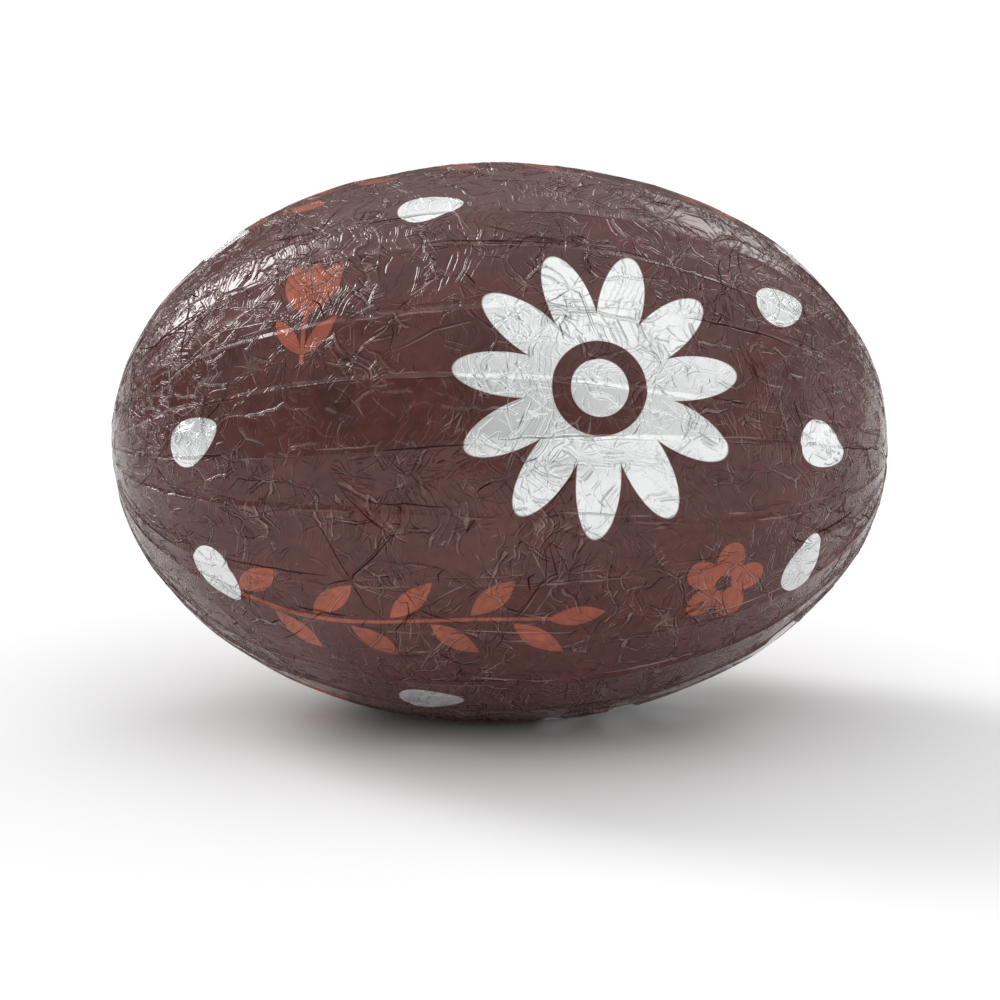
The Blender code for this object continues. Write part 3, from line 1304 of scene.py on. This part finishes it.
def foil_material():
    material, shader = new_material("printed_foil")
    tree = material.node_tree
    spot = Spot(attribute(tree, "foil_rest", "Vector"))
    relief = fine_creases(spot)
    worn_and_highlit, shade = wear_highlight_and_shade(spot, relief)
    grain = noise(spot.place, GRAIN_SIZE) * GRAIN_HEIGHT
    bump = tree.nodes.new("ShaderNodeBump")
    bump.inputs["Strength"].default_value = 1.0
    bump.inputs["Distance"].default_value = 1.0
    feed(bump.inputs["Height"], relief * FINE_HEIGHT + grain)
    for socket in ("Normal", "Coat Normal"):
        tree.links.new(bump.outputs[0], shader.inputs[socket])

    silver, copper = silver_print(spot), copper_print(spot)
    lacquer = noise(spot.place, CLOUD_SIZE) + noise(spot.place, SPECK_SIZE) - 1.0
    colour = mixed(LACQUER_BROWN, LACQUER_COPPER, copper) * (1.0 + LACQUER_UNEVENNESS * lacquer)
    # worn lacquer and a painted highlight on ridges, hairline tops and lit flanks
    colour = mixed(colour, WORN_AND_HIGHLIT_LACQUER, worn_and_highlit * WEAR_AND_HIGHLIGHT_SHARE)
    colour = mixed(colour, BARE_SILVER, silver)
    # painted shade darkens grooves and shaded flanks
    feed(shader.inputs["Base Color"], colour * (1.0 - GROOVE_SHADE * shade))
    feed(shader.inputs["Metallic"], between(LACQUER_METALLIC, SILVER_METALLIC, silver))
    feed(shader.inputs["Roughness"], between(LACQUER_ROUGHNESS, SILVER_ROUGHNESS, silver))
    # painted shade also takes the coat's gloss from grooves and shaded flanks
    feed(shader.inputs["Coat Weight"], (1.0 - silver) * (1.0 - GROOVE_COAT_SHADE * shade))
    shader.inputs["Coat Roughness"].default_value = COAT_ROUGHNESS
    shader.inputs["Specular IOR Level"].default_value = 0.0
    return material


# ---------------------------------------------------------------------------
# Studio
# ---------------------------------------------------------------------------

FLOOR_REACH = 1.5
FLOOR_WHITE = (0.93, 0.93, 0.93, 1)
FLOOR_ROUGHNESS = 0.7

CAMERA_ELEVATION = math.radians(12)
CAMERA_WAY = Vector((0, -math.cos(CAMERA_ELEVATION), math.sin(CAMERA_ELEVATION)))
EGG_SHARE_OF_FRAME = 0.774
EGG_ABOVE_MIDDLE = 0.0575  # of the frame's height
LENS = 135
SENSOR = 36

WALL_GLOW = 0.7
DIMMEST_GLOW = 0.2
OVERHEAD_GLOW, OVERHEAD_FROM, OVERHEAD_TO = 0.42, 0.2, 1.0
BEHIND_DIP, BEHIND_SLOPE, BEHIND_TO = 0.5, 0.8, 0.7
UNEVENNESS = 0.22

# Lights: how bright, then degrees right of the photo's front, degrees up, and half-widths
# in degrees. Below nothing, that place of the walls is darker.
WALL_PLACES = (
    (-0.32, -20, 26, 40),  # in front and above
    (-0.55, -118, 0, 34),  # on the left, low
    (0.15, 44, 52, 20),  # high on the right
    (0.45, 100, 4, 26),  # on the right, low
)
KEY_PANEL = (11.0, -128, 32, 10, 17)
RIM_LIGHT = (2.5, 150, 30, 11)


def make_floor():
    mesh = bpy.data.meshes.new("studio_floor")
    low, high = -FLOOR_REACH, FLOOR_REACH
    corners = [(low, low, 0), (high, low, 0), (high, high, 0), (low, high, 0)]
    mesh.from_pydata(corners, [], [(0, 1, 2, 3)])
    floor = placed("studio_floor", mesh)
    material, shader = new_material("studio_floor")
    shader.inputs["Base Color"].default_value = FLOOR_WHITE
    shader.inputs["Roughness"].default_value = FLOOR_ROUGHNESS
    shader.inputs["Specular IOR Level"].default_value = 0.0
    mesh.materials.append(material)


def way_to(azimuth, elevation):
    """The direction of a light: degrees to the right of the photo's front, and up."""
    right, up = math.radians(azimuth), math.radians(elevation)
    return Vector((math.cos(up) * math.sin(right), -math.cos(up) * math.cos(right), math.sin(up)))


def soft_panel(way, azimuth, elevation, half_width, half_height):
    """A panel with soft edges, as seen from the egg: 1 in its middle, 0 far away."""
    middle = way_to(azimuth, elevation)
    side = middle.cross(Vector((0, 0, 1))).normalized()
    rise = side.cross(middle)
    off_side = dot(way, tuple(side / math.sin(math.radians(half_width))))
    off_rise = dot(way, tuple(rise / math.sin(math.radians(half_height))))
    distance = off_side * off_side + off_rise * off_rise
    return math_of("EXPONENT", -(distance * distance)) * above(dot(way, tuple(middle)), 0.0)


def soft_spot(way, azimuth, elevation, half_width):
    """A round place of the walls, with soft edges: 1 in its middle, 0 far away."""
    off = 1.0 - dot(way, tuple(way_to(azimuth, elevation)))
    return bell(off, 1 - math.cos(math.radians(half_width)))


def make_world():
    """White studio walls, with a key panel behind on the left and a rim light on the right."""
    world = bpy.data.worlds.new("studio")
    world.use_nodes = True
    bpy.context.scene.world = world
    tree = world.node_tree
    background = tree.nodes["Background"]
    coordinate = tree.nodes.new("ShaderNodeTexCoord")
    way = unit(Field(coordinate.outputs["Generated"]))
    right, back, up = parts_of(way)
    glow = WALL_GLOW + OVERHEAD_GLOW * ramp(up, OVERHEAD_FROM, OVERHEAD_TO)
    glow = glow - BEHIND_DIP * ramp(back - up * BEHIND_SLOPE, 0.0, BEHIND_TO)
    for change, *place in WALL_PLACES:
        glow = glow + change * soft_spot(way, *place)
    # Slow waves of light and shade that cross on the walls.
    leaning = sin(right * 7.3 + up * 2.1 + 0.4)
    crossing = sin(up * 8.7 - back * 3.4 + 1.1)
    uneven = leaning * crossing
    glow = larger(glow, DIMMEST_GLOW) * (1.0 + UNEVENNESS * uneven)
    key_glow, *key_place = KEY_PANEL
    rim_glow, *rim_place = RIM_LIGHT
    glow = glow + key_glow * soft_panel(way, *key_place) + rim_glow * soft_spot(way, *rim_place)
    feed(background.inputs["Color"], vector(glow, glow, glow))
    background.inputs["Strength"].default_value = 1.0


def make_camera():
    """The photo's view: from a little above, with the egg somewhat above the frame's middle."""
    camera = bpy.data.cameras.new("photo_camera")
    camera.lens = LENS
    camera.sensor_width = SENSOR
    camera.clip_start = 0.005
    frame_width = LENGTH / EGG_SHARE_OF_FRAME
    distance = frame_width * LENS / SENSOR
    holder = placed("photo_camera", camera)
    up = Vector((0, math.sin(CAMERA_ELEVATION), math.cos(CAMERA_ELEVATION)))
    aim = Vector((0, 0, CENTRE_HEIGHT)) - up * frame_width * EGG_ABOVE_MIDDLE
    holder.location = aim + CAMERA_WAY * distance
    holder.rotation_euler = CAMERA_WAY.to_track_quat("Z", "Y").to_euler()
    bpy.context.scene.camera = holder


foil = foil_material()
wrapper = make_wrapper(foil)
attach(wrapper, "root")
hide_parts("wrapped_egg")
make_floor()
make_world()
make_camera()
bpy.context.scene.view_settings.view_transform = "Standard"
